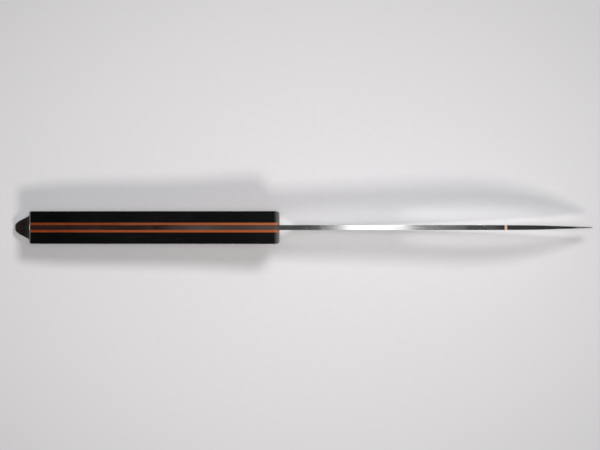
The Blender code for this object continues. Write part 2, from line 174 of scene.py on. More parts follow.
def handle_under():
    """The underside: close to the fingers in front, full for the palm, hollow ahead of the toe."""
    front, grip = Vector((-2.6, -25.6)) * MM, Vector((-23, -22.6)) * MM
    swell, hollow = Vector((-71, -28.4)) * MM, Vector((-115, -26.6)) * MM
    front_run, grip_run, swell_run = (Vector((EASE * run * MM, 0)) for run in (23, 48, 44))
    line = bend(front, front - front_run + Vector((0, 1.5 * MM)), grip + front_run, grip)
    line += bend(grip, grip - grip_run, swell + grip_run, swell)[1:]
    return line + bend(swell, swell - swell_run, hollow + swell_run, hollow)[1:]


def handle_ribs():
    """Ribs across the handle's height, upright in front and fanned out round the hooked toe.

    Each is its low, middle and high point, how far the belly's rounding reaches up it, how
    lean that rounding is, how wide its flat bottom is, and how much the sides draw in.
    """
    top, under = handle_top(), handle_under()
    ribs = []
    for step in range(UPRIGHT_RIBS + 1):
        share = step / UPRIGHT_RIBS
        high_x, low_x = HOLLOW_X * share, -FRONT_RAKE + (HOLLOW_X + FRONT_RAKE) * share
        low, high = on_line(under, low_x), on_line(top, high_x)
        ribs.append((low, (low + high) / 2, high, BELLY_ROUND, 1.0, BELLY_FLAT, 0.0))
    last_middle = ribs.pop()[1]
    nose = Vector((-145.65, -27.3)) * MM
    back = Vector((math.sin(NOSE_TURN), math.cos(NOSE_TURN)))
    nose_pull = NOSE_ROUND * 4 / 3 * math.tan(NOSE_TURN / 4)
    face = nose + Vector((1 - back.y, back.x)) * NOSE_ROUND
    hollow = Vector((HOLLOW_X, -26.6 * MM))
    toe = bend(hollow, hollow - Vector((2 * EASE * HOLLOW_RUN, 0)), nose - Vector((0, 15 * MM)), nose,
               TOE_RIBS)
    toe += bend(nose, nose + Vector((0, nose_pull)), face - back * nose_pull, face, NOSE_RIBS)[1:]
    butt_middle = face + back * BUTT_PULL
    for step, low in enumerate(toe):
        share = step / (len(toe) - 1)
        high = on_line(top, HOLLOW_X - HOLLOW_RUN * share)
        middle = last_middle.lerp(butt_middle, share)
        whole = (high - low).length - 2 * TOP_ROUND
        belly = BELLY_ROUND + (whole - BELLY_ROUND) * share
        flat = BELLY_FLAT + (NOSE_FLAT - BELLY_FLAT) * share
        ribs.append((low, middle, high, belly, 1.0 + BUTT_LEAN * share, flat, 0.0))
    return ribs


def rounded_end(rib, low_out, high_out, rounding, side_rounding):
    """Ribs that step out to an end rib while they shrink, so that its corners are round."""
    rib_low, rib_middle, rib_high, belly, lean, flat, _ = rib
    low_up, high_up = (rib_middle - rib_low).normalized(), (rib_high - rib_middle).normalized()
    ends = []
    for step in range(END_RIBS + 1):
        angle = math.pi / 2 * step / END_RIBS
        shrink, short = 1 - math.cos(angle), 1 - math.sin(angle)
        low = rib_low + (low_up * shrink - low_out * short) * rounding
        high = rib_high - (high_up * shrink + high_out * short) * rounding
        middle = rib_middle - (low_out + high_out) / 2 * short * rounding
        ends.append((low, middle, high, belly, lean, flat, side_rounding * shrink))
    return ends


ribs = handle_ribs()
front, butt = ribs[0], ribs[-1]
opening = rounded_end(front, (front[0] - ribs[1][0]).normalized(), Vector((1, 0)),
                      FRONT_ROUND, FRONT_SIDE_ROUND)[::-1]
closing = rounded_end(butt, Vector((0, 0)), (butt[2] - ribs[-2][2]).normalized(), BUTT_ROUND, BUTT_ROUND)
clear = [rib for rib in ribs[1:-1]
         if (rib[0] - front[0]).length > FRONT_ROUND + BUTT_ROUND
         and (rib[2] - butt[2]).length > BUTT_ROUND]
handle = opening + clear + closing
tang = handle[END_RIBS:]


def on_rib(rib, share):
    """A place on a rib, from its low end to its high end."""
    rest = 1 - share
    return rib[0] * rest ** 2 + rib[1] * 2 * share * rest + rib[2] * share ** 2


neck = tang[0][0]
choil = bend(neck, neck + heading(-NECK_SLOPE) * NECK_SWEEP,
             heel + Vector((-math.sin(HEEL_LEAN), math.cos(HEEL_LEAN))) * HEEL_SWEEP, heel)

# Where the two steels meet: a copper joint 1.2 mm wide runs forward from the choil, low on the
# blade, and climbs to the spine before the tip. Each steel stops at its side of the joint.
JOINT_WIDTH = 1.2 * MM
JOINT_ROWS = 3
JOINT_SHARE = 0.008
JOINT_START = -9.8 * MM
JOINT_LEVEL = 13.0 * MM - BLADE_DEPTH
JOINT_RUN = 62.0 * MM
JOINT_SWEEP = 30.0 * MM
JOINT_CROSSING = 121.3 * MM
JOINT_ANGLE = math.radians(49.0)
JOINT_END_SWEEP = 18.0 * MM
PAST_SPINE = 8.0 * MM
joint = [Vector((JOINT_START, JOINT_LEVEL))] + bend(
    (JOINT_RUN, JOINT_LEVEL), (JOINT_RUN + JOINT_SWEEP, JOINT_LEVEL),
    Vector((JOINT_CROSSING, 0)) - heading(JOINT_ANGLE) * JOINT_END_SWEEP, (JOINT_CROSSING, 0),
    2 * CURVE_STEPS)
joint.append(joint[-1] + heading(JOINT_ANGLE) * PAST_SPINE)


def beside(line, distance):
    """The line moved sideways, towards the spine when the distance is positive."""
    moved = []
    for index, point in enumerate(line):
        along = (line[min(index + 1, len(line) - 1)] - line[max(index - 1, 0)]).normalized()
        moved.append(point + Vector((-along.y, along.x)) * distance)
    return moved


def meeting(first, second):
    """The point where two lines cross."""
    for start, end in zip(first, first[1:]):
        for other_start, other_end in zip(second, second[1:]):
            along, across, gap = end - start, other_end - other_start, other_start - start
            slant = along.cross(across)
            if slant and 0 <= gap.cross(across) / slant <= 1 and 0 <= gap.cross(along) / slant <= 1:
                return start + along * (gap.cross(across) / slant)
    raise ValueError("the lines don't cross")


joint_above, joint_below = beside(joint, JOINT_WIDTH / 2), beside(joint, -JOINT_WIDTH / 2)
above_choil, above_spine = meeting(choil, joint_above), meeting(spine, joint_above)
below_choil, below_spine = meeting(choil, joint_below), meeting(spine, joint_below)


def column(low, high, rows, first=None):
    """Points straight up from low to high. The first row may have a height of its own."""
    shares = [row / rows for row in range(rows + 1)]
    if first is not None:
        shares = [0.0] + [first + (1 - first) * row / (rows - 1) for row in range(rows)]
    return [low.lerp(high, share) for share in shares]


def spread(start, end, step):
    """Even places from start to end, about one step apart."""
    count = max(1, round(abs(end - start) / step))
    return [start + (end - start) * index / count for index in range(count + 1)]


def put_in(name, data):
    """A new object in the scene."""
    obj = bpy.data.objects.new(name, data)
    bpy.context.scene.collection.objects.link(obj)
    return obj


def closed_piece(name, build):
    """An object from its faces, welded where they meet and facing outwards."""
    bmesh.ops.remove_doubles(build, verts=build.verts, dist=WELD)
    bmesh.ops.recalc_face_normals(build, faces=build.faces)
    mesh = bpy.data.meshes.new(name)
    build.to_mesh(mesh)
    build.free()
    return put_in(name, mesh)


def cut_blank(name, columns, ends_soft=True):
    """A piece cut from the plate at full thickness, with what its grinding has to know at each point.

    rise is the height above the cutting edge, in_handle is 1 where the plate keeps its full
    thickness, thinned is the share of it left towards the tip, and eased is 1 where the border
    is a free edge that gets broken.
    """
    build = bmesh.new()
    rise, in_handle, thinned, eased = (build.verts.layers.float.new(label) for label in GUIDES)

    def side_of(across):
        grid = []
        for points in columns:
            grid.append([build.verts.new(stand(point.x, across, point.y)) for point in points])
            for vert, point in zip(grid[-1], points):
                vert[rise] = max(0.0, point.y - level_at(edge, max(point.x, HEEL_X)))
                vert[in_handle] = min(1.0, max(0.0, -point.x / SHOULDER_RUN))
                far = min(1.0, max(0.0, (point.x - TAPER_FROM) / (TAPER_TO - TAPER_FROM)))
                vert[thinned] = 1.0 - (1.0 - TAPERED) * far * far * (3 - 2 * far)
                vert[eased] = 1.0 if point.x > EASED_FROM and ends_soft else 0.0
        for left, right in zip(grid, grid[1:]):
            for low in range(len(left) - 1):
                build.faces.new((left[low], left[low + 1], right[low + 1], right[low]))
        low_border, high_border = [line[0] for line in grid], [line[-1] for line in grid]
        return low_border + grid[-1][1:-1] + high_border[::-1] + grid[0][-2:0:-1]

    left, right = side_of(PLATE / 2), side_of(-PLATE / 2)
    for index in range(len(left)):
        build.faces.new((left[index - 1], left[index], right[index], right[index - 1]))
    return closed_piece(name, build)


def plug(tree, socket, value):
    """Fills a socket with a plain value, or with another node's output."""
    if isinstance(value, bpy.types.NodeSocket):
        tree.links.new(value, socket)
    else:
        socket.default_value = value


def fit(tree, kind, inputs=None, **settings):
    """A node in a tree, with its settings and what fills its inputs."""
    made = tree.nodes.new(kind)
    for key, value in settings.items():
        setattr(made, key, value)
    for key, value in (inputs or {}).items():
        plug(tree, made.inputs[key], value)
    return made


def reckon(tree, operation, first, second=0.0, held=False):
    """A Math node's result, held between 0 and 1 where that is asked for."""
    return fit(tree, "ShaderNodeMath", {0: first, 1: second}, operation=operation,
               use_clamp=held).outputs[0]


def mixed(tree, share, first, second):
    return fit(tree, "ShaderNodeMix", {0: share, 2: first, 3: second}).outputs[0]


def times(tree, first, second):
    return reckon(tree, "MULTIPLY", first, second)


def new_tree(name, kind, inputs, outputs):
    """A node group with named sockets, and its input and output nodes."""
    tree = bpy.data.node_groups.new(name, kind)
    sockets = {}
    for in_out, wanted in (("INPUT", inputs), ("OUTPUT", outputs)):
        for label, socket_type in wanted:
            socket = tree.interface.new_socket(
                name=label, in_out=in_out, socket_type="NodeSocket" + socket_type)
            sockets[label] = socket.identifier
    return tree, tree.nodes.new("NodeGroupInput").outputs, tree.nodes.new("NodeGroupOutput").inputs, sockets


def coat(tree, geometry, finish, result):
    """Ends a tree: its copies made real and its material set."""
    whole = fit(tree, "GeometryNodeRealizeInstances", {"Geometry": geometry})
    coated = fit(tree, "GeometryNodeSetMaterial", {"Geometry": whole.outputs[0], "Material": finish})
    tree.links.new(coated.outputs[0], result[0])


def convex_grind():
    """The tree that grinds a blank: full thickness in the handle, ground convex ahead of it."""
    tree, given, result, sockets = new_tree("convex_grind", "GeometryNodeTree", [
        ("Blank", "Geometry"), ("Plate Thickness", "Float"), ("Blade Depth", "Float"),
        ("Grind Power", "Float"), ("Bevel Rise", "Float"), ("Edge Thickness", "Float"),
        ("Eased Width", "Float"), ("Finish", "Material")], [("Ground Steel", "Geometry")])
    rise, in_handle, thinned, eased = (
        fit(tree, "GeometryNodeInputNamedAttribute", {"Name": label}, data_type="FLOAT").outputs[0]
        for label in GUIDES)
    above_bevel = reckon(tree, "MAXIMUM", rise, given["Bevel Rise"])
    share = reckon(tree, "POWER", reckon(tree, "DIVIDE", above_bevel, given["Blade Depth"]),
                   given["Grind Power"])
    ground = times(tree, times(tree, share, thinned), given["Plate Thickness"])
    up_bevel = reckon(tree, "DIVIDE", rise, given["Bevel Rise"], held=True)
    bevelled = mixed(tree, up_bevel, given["Edge Thickness"], ground)
    thick = mixed(tree, in_handle, bevelled, given["Plate Thickness"])
    half = times(tree, thick, 0.5)
    place = fit(tree, "ShaderNodeSeparateXYZ", {0: fit(tree, "GeometryNodeInputPosition").outputs[0]})
    across = times(tree, half, reckon(tree, "SIGN", place.outputs["Y"]))
    ground_place = fit(tree, "ShaderNodeCombineXYZ", {
        "X": place.outputs["X"], "Y": across, "Z": place.outputs["Z"]})
    closed = fit(tree, "GeometryNodeSetPosition", {
        "Geometry": given["Blank"], "Position": ground_place.outputs[0]})
    sharp = fit(tree, "FunctionNodeCompare", {
        0: fit(tree, "GeometryNodeInputMeshEdgeAngle").outputs["Unsigned Angle"], 1: CORNER_FROM},
        operation="GREATER_THAN").outputs[0]
    free = fit(tree, "FunctionNodeCompare", {0: eased, 1: 0.99}, operation="GREATER_THAN").outputs[0]
    room = reckon(tree, "DIVIDE", half, times(tree, given["Eased Width"], EASED_ROOM), held=True)
    weight = times(tree, times(tree, sharp, free), room)
    marked = fit(tree, "GeometryNodeStoreNamedAttribute", {
        "Geometry": closed.outputs[0], "Name": "bevel_weight_edge", "Value": weight},
        data_type="FLOAT", domain="EDGE")
    coat(tree, marked.outputs[0], given["Finish"], result)
    return tree, sockets


grind_tree, grind_sockets = convex_grind()


FINE_WELD = 0.001 * MM
SLIVER = 0.0005 * MM
SHARP_FROM = math.radians(36.0)
FLAT_WEIGHT = 60


def as_plain_mesh(obj):
    """What the object's modifiers make of it, as its own mesh. The modifiers go."""
    evaluated = obj.evaluated_get(bpy.context.evaluated_depsgraph_get())
    mesh = bpy.data.meshes.new_from_object(evaluated)
    obj.modifiers.clear()
    obj.data = mesh
    mesh.name = obj.name
    return mesh


def finish_mesh(obj):
    """Makes the object one clean plain mesh, flat on its broad faces and smooth round its edges."""
    mesh = as_plain_mesh(obj)
    build = bmesh.new()
    build.from_mesh(mesh)
    bmesh.ops.remove_doubles(build, verts=build.verts, dist=FINE_WELD)
    bmesh.ops.dissolve_degenerate(build, edges=build.edges, dist=SLIVER)
    bmesh.ops.recalc_face_normals(build, faces=build.faces)
    build.to_mesh(mesh)
    build.free()
    mesh.shade_smooth()
    mesh.set_sharp_from_angle(angle=SHARP_FROM)
    flat = obj.modifiers.new("flat_faces", "WEIGHTED_NORMAL")
    flat.keep_sharp = True
    flat.weight = FLAT_WEIGHT
    as_plain_mesh(obj)
    return obj


def run_tree(obj, label, tree, sockets, **inputs):
    """Sets a tree on an object, with its inputs."""
    step = obj.modifiers.new(label, "NODES")
    step.node_group = tree
    for name, value in inputs.items():
        step[sockets[name.replace("_", " ")]] = value


def grind(obj, finish):
    """Runs the grinding tree on a blank and breaks its free edges."""
    run_tree(obj, "grind", grind_tree, grind_sockets, Plate_Thickness=PLATE, Blade_Depth=BLADE_DEPTH,
             Grind_Power=GRIND_POWER, Bevel_Rise=BEVEL_RISE, Edge_Thickness=EDGE_THICK,
             Eased_Width=EASED_WIDTH, Finish=finish)
    broken = obj.modifiers.new("broken_edges", "BEVEL")
    broken.limit_method = "WEIGHT"
    broken.width = EASED_WIDTH
    broken.segments = 3
    return obj


# The drill for the rivets: stepped holes at the three rivet places, cut through every layer.
RIVETS_X = (-21.0 * MM, -66.0 * MM, -111.0 * MM)
SIDE = 8.65 * MM
HEAD_RADIUS = 3.7 * MM
HEAD_DEPTH = 1.8 * MM
BARREL_RADIUS = 2.5 * MM
PIN_RADIUS = 1.3 * MM
FIT_CLEARANCE = 0.02 * MM
RIVET_SIDES = 72
DRILL_PAST = 1.0 * MM
DRILL_RIM = 0.05 * MM


def turned_rivet():
    """The tree that turns a headed pin or barrel and sets one at each point, its face to one side."""
    tree, given, result, sockets = new_tree("turned_rivet", "GeometryNodeTree", [
        ("Places", "Geometry"), ("Face", "Float"), ("Head Radius", "Float"), ("Head Depth", "Float"),
        ("Shank Radius", "Float"), ("Shank Length", "Float"), ("Bore Radius", "Float"),
        ("Bore Depth", "Float"), ("Rim Break", "Float"), ("Turn", "Vector"), ("Sides", "Int"),
        ("Finish", "Material")], [("Rivets", "Geometry")])
    blank = fit(tree, "GeometryNodeMeshCircle", {
        "Vertices": given["Sides"], "Radius": given["Shank Radius"]}, fill_type="NGON")
    shelf = reckon(tree, "SUBTRACT", given["Face"], given["Head Depth"])
    foot = reckon(tree, "SUBTRACT", shelf, given["Shank Length"])

    def lengthened(mesh, top, along):
        """Draws the top face out along the rivet's own axis."""
        offset = fit(tree, "ShaderNodeCombineXYZ", {"Z": along})
        return fit(tree, "GeometryNodeExtrudeMesh", {
            "Mesh": mesh, "Selection": top, "Offset": offset.outputs[0], "Offset Scale": 1.0,
            "Individual": False})

    def widened(mesh, top, radius, before):
        """A flat step in the top face, from one radius to another."""
        ring = lengthened(mesh, top, 0.0)
        scaled = fit(tree, "GeometryNodeScaleElements", {
            "Geometry": ring.outputs["Mesh"], "Selection": ring.outputs["Top"],
            "Scale": reckon(tree, "DIVIDE", radius, before)}, domain="FACE")
        return scaled.outputs[0], ring.outputs["Top"]

    whole_face = fit(tree, "FunctionNodeInputBool", boolean=True).outputs[0]
    low = fit(tree, "GeometryNodeSetPosition", {
        "Geometry": blank.outputs[0], "Offset": fit(tree, "ShaderNodeCombineXYZ", {"Z": foot}).outputs[0]})
    shank = lengthened(low.outputs[0], whole_face, given["Shank Length"])
    mesh, top = widened(shank.outputs["Mesh"], shank.outputs["Top"], given["Head Radius"],
                        given["Shank Radius"])
    head = lengthened(mesh, top, reckon(tree, "SUBTRACT", given["Head Depth"], given["Rim Break"]))
    rim = lengthened(head.outputs["Mesh"], head.outputs["Top"], given["Rim Break"])
    face_radius = reckon(tree, "SUBTRACT", given["Head Radius"], given["Rim Break"])
    face = fit(tree, "GeometryNodeScaleElements", {
        "Geometry": rim.outputs["Mesh"], "Selection": rim.outputs["Top"],
        "Scale": reckon(tree, "DIVIDE", face_radius, given["Head Radius"])}, domain="FACE")
    end = fit(tree, "GeometryNodeFlipFaces", {"Mesh": low.outputs[0]})
    mouth_mesh, mouth_top = widened(end.outputs[0], whole_face, given["Bore Radius"], given["Shank Radius"])
    bore = lengthened(mouth_mesh, mouth_top, given["Bore Depth"])
    both = tree.nodes.new("GeometryNodeJoinGeometry")
    tree.links.new(face.outputs[0], both.inputs[0])
    tree.links.new(bore.outputs["Mesh"], both.inputs[0])
    closed = fit(tree, "GeometryNodeMergeByDistance", {"Geometry": both.outputs[0], "Distance": FINE_WELD})
    set_out = fit(tree, "GeometryNodeInstanceOnPoints", {
        "Points": given["Places"], "Instance": closed.outputs[0], "Rotation": given["Turn"]})
    coat(tree, set_out.outputs[0], given["Finish"], result)
    return tree, sockets


rivet_tree, rivet_sockets = turned_rivet()


def middle_of_handle(x):
    return (level_at(handle_top(), x) + level_at(handle_under(), x)) / 2


def turn_rivets(name, places, side, **sizes):
    """An object with the rivet tree on points in the knife's middle plane. side is 1 for left."""
    mesh = bpy.data.meshes.new(name)
    mesh.from_pydata([stand(x, 0.0, middle_of_handle(x)) for x in places], [], [])
    obj = put_in(name, mesh)
    run_tree(obj, "turned", rivet_tree, rivet_sockets, Sides=RIVET_SIDES,
             Turn=(-side * math.pi / 2, 0.0, 0.0), **sizes)
    return obj


drills = []
for label, side in (("left", 1), ("right", -1)):
    drills.append(turn_rivets(
        f"drill_{label}", RIVETS_X, side, Face=SIDE + DRILL_PAST, Head_Radius=HEAD_RADIUS + FIT_CLEARANCE,
        Head_Depth=HEAD_DEPTH + DRILL_PAST, Shank_Radius=BARREL_RADIUS + FIT_CLEARANCE, Shank_Length=SIDE,
        Bore_Radius=PIN_RADIUS, Bore_Depth=0.0, Rim_Break=DRILL_RIM))
    finish_mesh(drills[-1])
drill_rack = bpy.data.collections.new("drills")
for drill in drills:
    drill_rack.objects.link(drill)


def bore_through(obj):
    """Cuts the rivets' stepped holes out of a layer."""
    step = obj.modifiers.new("rivet_holes", "BOOLEAN")
    step.operation = "DIFFERENCE"
    step.solver = "EXACT"
    step.operand_type = "COLLECTION"
    step.collection = drill_rack


def blend(tree, share, first, second):
    """Two colours mixed by a share from 0 to 1. Each is a colour or a node's output."""
    first, second = (colour if isinstance(colour, bpy.types.NodeSocket) else (*colour, 1.0)
                     for colour in (first, second))
    return fit(tree, "ShaderNodeMix", {0: share, 6: first, 7: second}, data_type="RGBA").outputs[2]


def between(tree, value, low, high, to_low=0.0, to_high=1.0):
    """A value eased from one range to another and held at its ends."""
    return fit(tree, "ShaderNodeMapRange", {0: value, 1: low, 2: high, 3: to_low, 4: to_high},
               interpolation_type="SMOOTHSTEP").outputs[0]


def two_tones(tree, pattern, low, high):
    """Two colours that follow a pattern's low and high places."""
    return blend(tree, between(tree, pattern, 0.3, 0.7), low, high)


def noise(tree, place, detail=2.0, roughness=0.5, warp=0.0):
    return fit(tree, "ShaderNodeTexNoise", {
        "Vector": place, "Scale": 1.0, "Detail": detail, "Roughness": roughness,
        "Distortion": warp}).outputs["Fac"]


def stretched(tree, place, sizes):
    """Places divided by a size in millimetres along each axis."""
    return fit(tree, "ShaderNodeMapping", {
        "Vector": place, "Scale": tuple(1 / size for size in sizes)}, vector_type="POINT").outputs[0]


def in_knife_axes(tree):
    """Places on the surface in the knife's own axes, in millimetres."""
    place = fit(tree, "ShaderNodeTexCoord").outputs["Object"]
    return fit(tree, "ShaderNodeMapping", {
        "Vector": place, "Location": (STAND_SHIFT, 0, STAND_LIFT), "Rotation": (0, -STAND_TILT, 0),
        "Scale": (MM, MM, MM)}, vector_type="TEXTURE").outputs[0]


def from_front(tree, place):
    """How far along the knife a place is, in millimetres from the front of the handle."""
    return fit(tree, "ShaderNodeSeparateXYZ", {0: place}).outputs["X"]


def turned_upright(tree, place):
    """Places turned so that lines which ran lengthwise run from spine to edge."""
    return fit(tree, "ShaderNodeMapping", {
        "Vector": place, "Rotation": (0, math.pi / 2, 0)}, vector_type="POINT").outputs[0]


def new_finish(name):
    """A material, its tree, its shader and the places on the piece in the knife's own axes."""
    material = bpy.data.materials.new(name)
    material.use_nodes = True
    tree = material.node_tree
    return material, tree, tree.nodes["Principled BSDF"], in_knife_axes(tree)


def feed(tree, shader, **wanted):
    """Sets the shader's sockets, to plain values or to nodes' outputs."""
    for label, value in wanted.items():
        plug(tree, shader.inputs[label.replace("_", " ")], value)


def raised(tree, height, depth):
    """A bump of the given depth in metres."""
    return fit(tree, "ShaderNodeBump", {"Height": height, "Distance": depth, "Strength": 1.0}).outputs[0]


def belt_lines():
    """Fine lines that an abrasive belt leaves along X, and a few deeper scratches among them."""
    tree, given, result, _ = new_tree(
        "belt_lines", "ShaderNodeTree",
        [("Place", "Vector"), ("Line Length", "Float"), ("Line Width", "Float")],
        [("Lines", "Float"), ("Scratches", "Float")])
    place = fit(tree, "ShaderNodeSeparateXYZ", {0: given["Place"]})
    along = reckon(tree, "DIVIDE", place.outputs["X"], given["Line Length"])
    across, up = (reckon(tree, "DIVIDE", place.outputs[axis], given["Line Width"]) for axis in "YZ")
    drawn = fit(tree, "ShaderNodeCombineXYZ", {"X": along, "Y": across, "Z": up}).outputs[0]
    tree.links.new(noise(tree, drawn, detail=3.0, roughness=0.65), result["Lines"])
    sparse = noise(tree, stretched(tree, drawn, (1.7, 0.8, 0.8)), detail=1.0)
    tree.links.new(between(tree, sparse, 0.68, 0.76), result["Scratches"])
    return tree


def handled_marks():
    """Cloudy marks of handling and wiping, and tiny specks."""
    tree, given, result, _ = new_tree(
        "handled_marks", "ShaderNodeTree", [("Place", "Vector"), ("Patch Size", "Float")],
        [("Haze", "Float"), ("Specks", "Float")])
    share = reckon(tree, "DIVIDE", 1.0, given["Patch Size"])
    scaled = fit(tree, "ShaderNodeVectorMath", {
        0: given["Place"], "Scale": share}, operation="SCALE").outputs[0]
    cloudy = noise(tree, scaled, detail=4.0, roughness=0.6, warp=0.8)
    tree.links.new(between(tree, cloudy, 0.4, 0.68), result["Haze"])
    fine = noise(tree, stretched(tree, scaled, (0.05, 0.05, 0.05)), detail=1.0)
    tree.links.new(between(tree, fine, 0.7, 0.78), result["Specks"])
    return tree


def grime_and_painted_light():
    """Dirt from the hand: none at the front of the handle and more behind; besides it, painted shade all
    over the toe.

    The corner output is a painted highlight on the rounded edge where the top turns down at the butt.
    """
    tree, given, result, _ = new_tree(
        "grime_and_painted_light", "ShaderNodeTree",
        [("Place", "Vector"), ("Clean At", "Float"), ("Full At", "Float")],
        [("Grime", "Float"), ("Toe_Painted_Shade", "Float"), ("Corner_Painted_Highlight", "Float")])
    axes = fit(tree, "ShaderNodeSeparateXYZ", {0: given["Place"]}).outputs
    along, butt_x = axes["X"], -HANDLE_LENGTH / MM
    span = reckon(tree, "SUBTRACT", given["Full At"], given["Clean At"])
    far = reckon(tree, "DIVIDE", reckon(tree, "SUBTRACT", along, given["Clean At"]), span, held=True)
    patchy = noise(tree, stretched(tree, given["Place"], (7.0, 1.6, 4.0)), detail=4.0, roughness=0.6)
    uneven = between(tree, patchy, 0.3, 0.7, 0.86, 1.1)
    tree.links.new(reckon(tree, "MULTIPLY", far, uneven, held=True), result["Grime"])
    tree.links.new(between(tree, along, butt_x + 0.5, butt_x - 0.4), result["Toe_Painted_Shade"])
    band = times(tree, between(tree, along, butt_x + 0.75, butt_x + 0.45),
                  between(tree, axes["Z"], -7.5, -5.8))
    tree.links.new(band, result["Corner_Painted_Highlight"])
    return tree


def placed(tree, group, **inputs):
    """A shader group set in a material, with its own values."""
    named = {label.replace("_", " "): value for label, value in inputs.items()}
    return fit(tree, "ShaderNodeGroup", named, node_tree=group).outputs


lines_group, marks_group, grime_and_light_group = belt_lines(), handled_marks(), grime_and_painted_light()


def flank(tree):
    """1 on a piece's broad sides, 0 on its spine and borders."""
    normal = fit(tree, "ShaderNodeSeparateXYZ", {0: fit(tree, "ShaderNodeNewGeometry").outputs["Normal"]})
    return between(tree, reckon(tree, "ABSOLUTE", normal.outputs["Y"]), 0.5, 0.8)


def satin_steel():
    material, tree, shader, place = new_finish("satin_steel")
    sides = flank(tree)
    upright = placed(tree, lines_group, Place=turned_upright(tree, place), Line_Length=30.0, Line_Width=0.35)
    lengthwise = placed(tree, lines_group, Place=place, Line_Length=25.0, Line_Width=0.22)
    marks = placed(tree, marks_group, Place=place, Patch_Size=16.0)
    grime_and_light = placed(tree, grime_and_light_group, Place=place, Clean_At=-42.0, Full_At=-63.0)
    lines = mixed(tree, sides, lengthwise["Lines"], upright["Lines"])
    scratches = mixed(tree, sides, lengthwise["Scratches"], upright["Scratches"])
    along = from_front(tree, place)
    in_handle = between(tree, along, 1.0, -2.0)
    clean = two_tones(tree, lines, (0.53, 0.53, 0.54), (0.6, 0.6, 0.605))
    scratched = blend(tree, times(tree, scratches, 0.35), clean, (0.4, 0.4, 0.405))
    dirty = blend(tree, between(tree, along, -76.0, -126.0), (0.155, 0.088, 0.072), (0.4, 0.2, 0.175))
    browned = blend(tree, grime_and_light["Grime"], (0.7, 0.5, 0.46), dirty)
    handled = blend(tree, in_handle, scratched, browned)
    # The toe is painted near-black as painted shade, and the butt's top rear edge pale as a painted
    # highlight.
    toe = blend(tree, grime_and_light["Toe_Painted_Shade"], handled, (0.018, 0.0115, 0.0095))
    with_painted_corner_highlight = blend(tree, grime_and_light["Corner_Painted_Highlight"], toe, (0.98, 0.88, 0.84))
    smooth = mixed(tree, sides, between(tree, lines, 0.25, 0.75, 0.085, 0.125),
                   between(tree, lines, 0.25, 0.75, 0.24, 0.36))
    hazed = reckon(tree, "ADD", smooth, times(tree, marks["Haze"], 0.03))
    dull = reckon(tree, "ADD", hazed, times(tree, in_handle, 0.06))
    # On the toe the steel is also made rough and hardly metallic, so that it keeps its painted shade.
    with_painted_light = reckon(tree, "ADD", dull, times(tree, grime_and_light["Toe_Painted_Shade"], 0.5))
    metal_apart_from_toe = reckon(tree, "SUBTRACT", 1.0, times(tree, grime_and_light["Toe_Painted_Shade"], 0.95))
    feed(tree, shader, Base_Color=with_painted_corner_highlight, Metallic=metal_apart_from_toe, Roughness=with_painted_light, Specular_IOR_Level=0.33,
         Normal=raised(tree, reckon(tree, "SUBTRACT", lines, scratches), 0.001 * MM))
    return material


body_under = [point for point in choil if point.x < above_choil.x] + [above_choil] + [
    point for point in joint_above if above_choil.x < point.x < above_spine.x] + [above_spine]
body_columns = [[on_rib(rib, row / BODY_ROWS) for row in range(BODY_ROWS + 1)] for rib in reversed(tang)]
for share in spread(0.0, 1.0, FRONT_SHARE)[1:-1]:
    low_x, high_x = tang[0][0].x * (1 - share), tang[0][2].x * (1 - share)
    body_columns.append(column(on_line(body_under, low_x), Vector((high_x, 0)), BODY_ROWS))
for x in spread(0.0, above_choil.x, CHOIL_STEP) + spread(above_choil.x, above_spine.x, BLADE_STEP)[1:]:
    body_columns.append(column(on_line(body_under, x), on_line(spine, x), BODY_ROWS))

blade_back = cut_blank("blade_back_and_tang", body_columns)
grind(blade_back, satin_steel())
bore_through(blade_back)
finish_mesh(blade_back)
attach(blade_back, "root")
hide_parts("blade_body")

# The copper joint is a strip of brazing metal between the two steels, ground flush with them.
# It shows as a thin warm line along both sides of the blade, and where it crosses the spine.


def brazed_copper():
    material, tree, shader, place = new_finish("copper")
    lines = placed(tree, lines_group, Place=place, Line_Length=9.0, Line_Width=0.18)
    marks = placed(tree, marks_group, Place=place, Patch_Size=3.0)
    fresh = two_tones(tree, lines["Lines"], (0.69, 0.52, 0.42), (0.77, 0.61, 0.51))
    toned = blend(tree, times(tree, marks["Haze"], 0.5), fresh, (0.62, 0.33, 0.2))
    spotted = blend(tree, times(tree, marks["Specks"], 0.5), toned, (0.26, 0.13, 0.08))
    feed(tree, shader, Base_Color=spotted, Metallic=1.0,
         Roughness=reckon(tree, "ADD", 0.38, times(tree, marks["Haze"], 0.12)),
         Normal=raised(tree, lines["Lines"], 0.003 * MM))
    return material


def along_joint(line, start, end, share):
    """A place on one side of the joint, between its ends on the blade's outline."""
    if share in (0, 1):
        return end if share else start
    return on_line(line, start.x + (end.x - start.x) * share)


copper_columns = []
for share in spread(0.0, 1.0, JOINT_SHARE):
    copper_columns.append(column(
        along_joint(joint_below, below_choil, below_spine, share),
        along_joint(joint_above, above_choil, above_spine, share), JOINT_ROWS))
copper_joint = cut_blank("copper_joint", copper_columns, ends_soft=False)
grind(copper_joint, brazed_copper())
finish_mesh(copper_joint)
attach(copper_joint, "root")
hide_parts("braze_seam")

# The cutting steel is the harder plate below the joint and out to the tip. It is ground down to
# the edge, polished brighter than the back, and its last 0.8 mm is honed to a bevel.
CUTTING_ROWS = 22
HEEL_STEP = 0.25 * MM
TIP_STEP = 0.7 * MM
LEAST_SHARE, MOST_SHARE = 0.02, 0.5
THINNEST = 0.01 * MM


